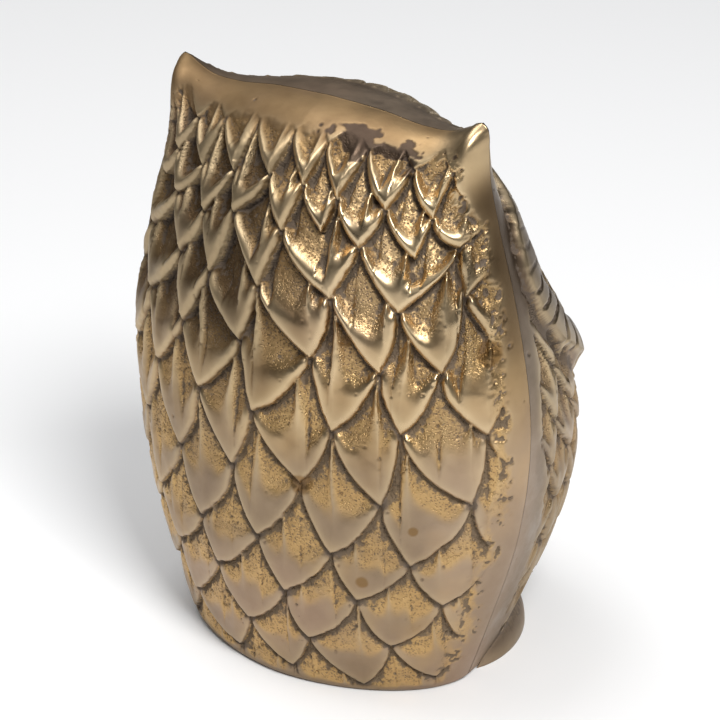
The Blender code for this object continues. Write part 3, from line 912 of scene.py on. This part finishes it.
    # Golden hollows with dark specks, then dirt and painted shade, stains and crust
    gold = stepped(noise(110.0, 3.0, 0.6), 0.25, 0.55, 0.35 * gilt, gilt)
    gold = times(stepped(hollow, 0.0, 0.5), gold, zone("Z", 0.45, 0.72, 0.75, 0.38))
    colour = mixed(times(gold, less(1.0, times(shaded, 0.90))), colour, PIT_GOLD)
    specks = nodes.new("ShaderNodeTexVoronoi")
    specks.inputs["Scale"].default_value = SPECK_SCALE
    links.new(coords.outputs["Object"], specks.inputs["Vector"])
    bowls = stepped(specks.outputs["Distance"], 0.15, 0.50, 1.0, 0.0)
    crowded = plus(hollow, stepped(noise(320.0, 3.0, 0.6), 0.30, 0.70, -0.55, 0.35))
    sunk = times(bowls, stepped(crowded, 0.25, 0.85, 0.0, 0.80))
    caked = stepped(noise(900.0, 3.0, 0.6), 0.35, 0.65, -0.22, 0.22)
    # dirt and painted shade in creases, recesses and pits, with dark specks in the hollows
    dirt_and_shade = most(stepped(plus(cavity, caked), 0.24, 0.70), sunk)
    colour = mixed(times(dirt_and_shade, zone("Z", 0.40, 0.80, 0.80, 0.92)), colour, GRIME_AND_SHADE)
    colour = mixed(times(stain, 0.72), colour, AMBER)
    colour = mixed(times(crust, 0.92), colour, CRUST_BROWN)
    links.new(colour, shader.inputs["Base Color"])

    shine = stepped(noise(160.0, 5.0, 0.7), 0.3, 0.7, *roughness)
    for mask, rougher in ((tarnish, 0.14), (shaded, 0.20), (times(hollow, shaded), 0.12), (dirt_and_shade, 0.30),
                          (wear, -0.06), (most(crown, crust), 0.16), (hollow, 0.10)):
        shine = plus(shine, times(mask, rougher))
    links.new(shine, shader.inputs["Roughness"])
    links.new(stepped(dirt_and_shade, 0.0, 1.0, 1.0, 0.30), shader.inputs["Metallic"])

    grain = nodes.new("ShaderNodeBump")
    grain.inputs["Distance"].default_value = GRAIN_DEPTH
    grain.inputs["Strength"].default_value = 0.35
    links.new(noise(700.0, 4.0, 0.6, (1.0, 1.0, 0.35)), grain.inputs["Height"])
    pitted = nodes.new("ShaderNodeBump")
    pitted.inputs["Distance"].default_value = PITTED_DEPTH
    links.new(stepped(hollow, 0.05, 0.6, 0.0, 0.75), pitted.inputs["Strength"])
    rough_bed = times(noise(1500.0, 3.0, 0.65), 0.6)
    links.new(less(rough_bed, times(bowls, 0.6)), pitted.inputs["Height"])
    links.new(grain.outputs["Normal"], pitted.inputs["Normal"])
    links.new(pitted.outputs["Normal"], shader.inputs["Normal"])
    return made


def seam_line(rows):
    """Outer and inner outline of the half castings in the seam plane, in matching steps."""
    shell = even_grid(body_points, True, rows, 60)[0]
    core = even_grid(core_points, True, rows, 20)[0]
    lines = []
    for grid in (shell, core):
        line = [*grid[:, 0], *grid[-1, 1:-1], *grid[::-1, -1]]
        line = np.array(line)[:, [0, 2]]
        length = length_along(line)
        steps = np.linspace(0.0, length[-1], 4 * rows)
        lines.append(np.stack([np.interp(steps, length, line[:, axis]) for axis in (0, 1)], axis=1))
    return lines


def seam_braze(finish):
    """Braze that fills the seam: a thin web between the lands and a round bead along the hollow."""
    outer, inner = seam_line(SEAM_ROWS)
    outward = outer - inner
    outward /= np.linalg.norm(outward, axis=1)[:, None]
    outer = outer - outward * BRAZE_INSET
    keep = slice(2, -2)
    outer, inner, outward = outer[keep], inner[keep], outward[keep]
    web = 0.5 * GAP - WEB_CLEARANCE
    turn_start = math.asin(web / BEAD_RADIUS)
    turns = np.linspace(turn_start, 2.0 * math.pi - turn_start, BEAD_STEPS)
    step = np.arange(len(outer))
    wander = 1.0 + BEAD_WANDER * np.sin(step * 0.7) * np.cos(step * 0.23)

    def line_at(line, aside):
        return np.stack([line[:, 0], np.full(len(line), aside), line[:, 1]], axis=1)

    rings = [line_at(outer, web)]
    for turn in turns:
        reach = inner + outward * (math.cos(turn) * BEAD_RADIUS * wander)[:, None]
        rings.append(line_at(reach, math.sin(turn) * BEAD_RADIUS))
    rings.append(line_at(outer, -web))
    points = np.stack(rings, axis=1)
    points[..., 2] = np.maximum(points[..., 2], GAP)
    count, around_count = points.shape[:2]
    index = np.arange(count * around_count).reshape(count, around_count)
    after = np.roll(index, -1, axis=1)
    quads = np.stack([index[:-1], after[:-1], after[1:], index[1:]], axis=-1).reshape(-1, 4)
    caps = [(index[0, 0], index[0, i + 1], index[0, i]) for i in range(1, around_count - 1)]
    caps += [(index[-1, 0], index[-1, i], index[-1, i + 1]) for i in range(1, around_count - 1)]
    points = points.reshape(-1, 3)
    points[:, 1] += SEAM_Y
    mesh = mesh_from("seam_braze_fine", points, quads, caps, {"cavity": np.full(len(points), BRAZE_DIRT)})
    return add_piece("seam_braze_fine", mesh, finish, "seam_braze")


def inside_body(points):
    """Below 1 inside the body's front, above 1 outside it, for points measured from the seam plane."""
    z = np.clip(points[..., 2] / HEIGHT, 0.0, 1.0)
    roundness = smooth_curve(z, FRONT_ROUND_AT, FRONT_ROUNDS)
    x = np.abs(points[..., 0]) / HEIGHT / smooth_curve(z, WIDTH_AT, WIDTHS)
    y = np.abs(points[..., 1]) / HEIGHT / smooth_curve(z, FRONT_AT, FRONT_DEPTHS)
    return x**roundness + y**roundness


def foot_lobe(name, side, finish, node):
    """A flat-soled rounded toe pad whose back follows the body's front, clear of it by a hair."""
    rings, spokes = FOOT_GRID
    polar = np.linspace(0.0, math.pi, rings + 1)[:, None]
    spin = np.linspace(0.0, 2.0 * math.pi, spokes, endpoint=False)[None, :]
    local = np.stack(
        [np.sin(polar) * np.cos(spin), np.sin(polar) * np.sin(spin), np.cos(polar) + 0.0 * spin], axis=-1
    )
    local *= np.array(FOOT_HALF_SIZE) * MM
    turn = -side * math.radians(FOOT_TURN)
    across, along = local[..., 0], local[..., 1]
    points = local.copy()
    points[..., 0] = across * math.cos(turn) - along * math.sin(turn) + side * FOOT_SPREAD * MM
    points[..., 1] = across * math.sin(turn) + along * math.cos(turn) - FOOT_PLACE * MM
    points[..., 2] = np.maximum(points[..., 2], 0.0)
    forward = np.array([-math.sin(turn), -math.cos(turn), 0.0])
    near = np.zeros(points.shape[:2])
    far = np.full(points.shape[:2], 3.0 * FOOT_HALF_SIZE[1] * MM)
    for _ in range(BISECTIONS):
        middle = 0.5 * (near + far)
        hidden = inside_body(points + forward * middle[..., None]) < 1.0
        near, far = np.where(hidden, middle, near), np.where(hidden, far, middle)
    push = np.where(inside_body(points) < 1.0, far + FOOT_CLEARANCE * MM, 0.0)
    points += forward * push[..., None]
    points[..., 1] += SEAM_Y
    index = np.arange((rings + 1) * spokes).reshape(rings + 1, spokes)
    index[0] = index[0, 0]
    index[-1] = index[-1, 0]
    after = np.roll(index, -1, axis=1)
    quads = np.stack([index[1:-2], index[2:-1], after[2:-1], after[1:-2]], axis=-1).reshape(-1, 4)
    caps = [(index[0, 0], index[1, i], after[1, i]) for i in range(spokes)]
    caps += [(index[-1, 0], after[-2, i], index[-2, i]) for i in range(spokes)]
    rise = points[..., 2].reshape(-1) / MM
    # painted shade: darker where the pad was pushed clear of the body's front, and up its top
    dirt_and_shade = 0.55 * np.clip(push.reshape(-1) / MM, 0.0, 1.0) + 0.50 * ramp(rise, *FOOT_SHADE_RISE)
    wear = 0.5 * (1.0 - ramp(rise, *FOOT_RUBBED))
    mesh = mesh_from(name, points.reshape(-1, 3), quads, caps, {"cavity": dirt_and_shade, "wear": wear})
    return add_piece(name, mesh, finish, node)


FLOOR_SIZE = 12.0
PAPER_WHITE = (0.93, 0.93, 0.93, 1.0)
PAPER_ROUGHNESS = 0.7

# Soft boxes: degrees to the right of the camera's side, degrees up, side in metres, power in watts
LIGHTS = {"key_softbox": (24.0, 50.0, 0.34, 8.8), "left_softbox": (-125.0, 72.0, 0.5, 3.4)}
LIGHT_DISTANCE = 1.0
SKY_FROM = 0.35  # the room brightens from here, as a share of the way up to straight overhead
SKY_STRENGTHS = (0.08, 0.60)  # level with the floor, and overhead
SKY_COLOUR = (0.97, 0.98, 1.0, 1.0)


def sheet_floor():
    """A wide sheet of white paper."""
    bpy.ops.mesh.primitive_plane_add(size=FLOOR_SIZE)
    floor = bpy.context.object
    floor.name = "floor"
    made, _, _, shader = node_tree("white_paper")
    shader.inputs["Base Color"].default_value = PAPER_WHITE
    shader.inputs["Roughness"].default_value = PAPER_ROUGHNESS
    floor.data.materials.append(made)


def direction(turn, elevation):
    """Unit vector away from the figure, for a turn from its front and an elevation in degrees."""
    turn, elevation = math.radians(turn), math.radians(elevation)
    flat = Vector((math.sin(turn), -math.cos(turn), 0.0)) * math.cos(elevation)
    return flat + Vector((0.0, 0.0, math.sin(elevation)))


def area_light(name, place, size, power):
    """A square light that faces the figure."""
    lamp = bpy.data.lights.new(name, "AREA")
    lamp.shape = "SQUARE"
    lamp.size = size
    lamp.energy = power
    holder = bpy.data.objects.new(name, lamp)
    holder.location = place
    toward = Vector((0.0, 0.0, 0.5 * HEIGHT)) - place
    holder.rotation_euler = toward.to_track_quat("-Z", "Y").to_euler()
    bpy.context.scene.collection.objects.link(holder)


def set_lights():
    """A dim room with large soft lights overhead; the white floor lights the lower half."""
    world = bpy.data.worlds.new("studio")
    bpy.context.scene.world = world
    world.use_nodes = True
    nodes, links = world.node_tree.nodes, world.node_tree.links
    coords = nodes.new("ShaderNodeTexCoord")
    split = nodes.new("ShaderNodeSeparateXYZ")
    links.new(coords.outputs["Generated"], split.inputs["Vector"])
    climb = nodes.new("ShaderNodeMapRange")
    climb.interpolation_type = "SMOOTHSTEP"
    climb.inputs["From Min"].default_value = SKY_FROM
    climb.inputs["From Max"].default_value = 1.0
    climb.inputs["To Min"].default_value = SKY_STRENGTHS[0]
    climb.inputs["To Max"].default_value = SKY_STRENGTHS[1]
    links.new(split.outputs["Z"], climb.inputs["Value"])
    background = nodes["Background"]
    background.inputs["Color"].default_value = SKY_COLOUR
    links.new(climb.outputs["Result"], background.inputs["Strength"])
    for name, (turn, elevation, size, power) in LIGHTS.items():
        away = direction(CAMERA_TURN + turn, elevation) * LIGHT_DISTANCE
        area_light(name, away + Vector((0.0, SEAM_Y, 0.5 * HEIGHT)), size, power)
    bpy.context.scene.view_settings.view_transform = "Standard"


def set_camera():
    """The camera stands behind the owl, to its right, and looks down at it."""
    aim = Vector(CAMERA_AIM) * HEIGHT + Vector((0.0, SEAM_Y, 0.0))
    back = direction(CAMERA_TURN, CAMERA_ELEVATION)
    lens = bpy.data.cameras.new("camera")
    lens.sensor_width = CAMERA_SENSOR
    lens.lens = CAMERA_LENS
    camera = bpy.data.objects.new("camera", lens)
    camera.location = aim + back * CAMERA_DISTANCE
    camera.rotation_euler = back.to_track_quat("Z", "Y").to_euler()
    bpy.context.scene.collection.objects.link(camera)
    bpy.context.scene.camera = camera


fine = 1.0
rear_detail = [int(steps * fine) for steps in REAR_GRID]
front_detail = [int(steps * fine) for steps in FRONT_GRID]
brass = aged_brass("aged_brass", BACK_LIGHT, BACK_BROWN, (0.30, 0.44))
face_brass = aged_brass("face_brass", FACE_LIGHT, FACE_BROWN, (0.32, 0.50), gilt=0.5)
half_casting("rear_shell", True, rear_detail, rear_relief, brass, "rear_casting")
half_casting("front_shell", False, front_detail, front_relief, face_brass, "front_casting")
seam_braze(brass)
foot_brass = aged_brass("foot_brass", FOOT_LIGHT, FOOT_BROWN, (0.30, 0.45))
foot_lobe("left_toe_pad", 1.0, foot_brass, "left_foot")
foot_lobe("right_toe_pad", -1.0, foot_brass, "right_foot")
set_lights()
sheet_floor()
set_camera()
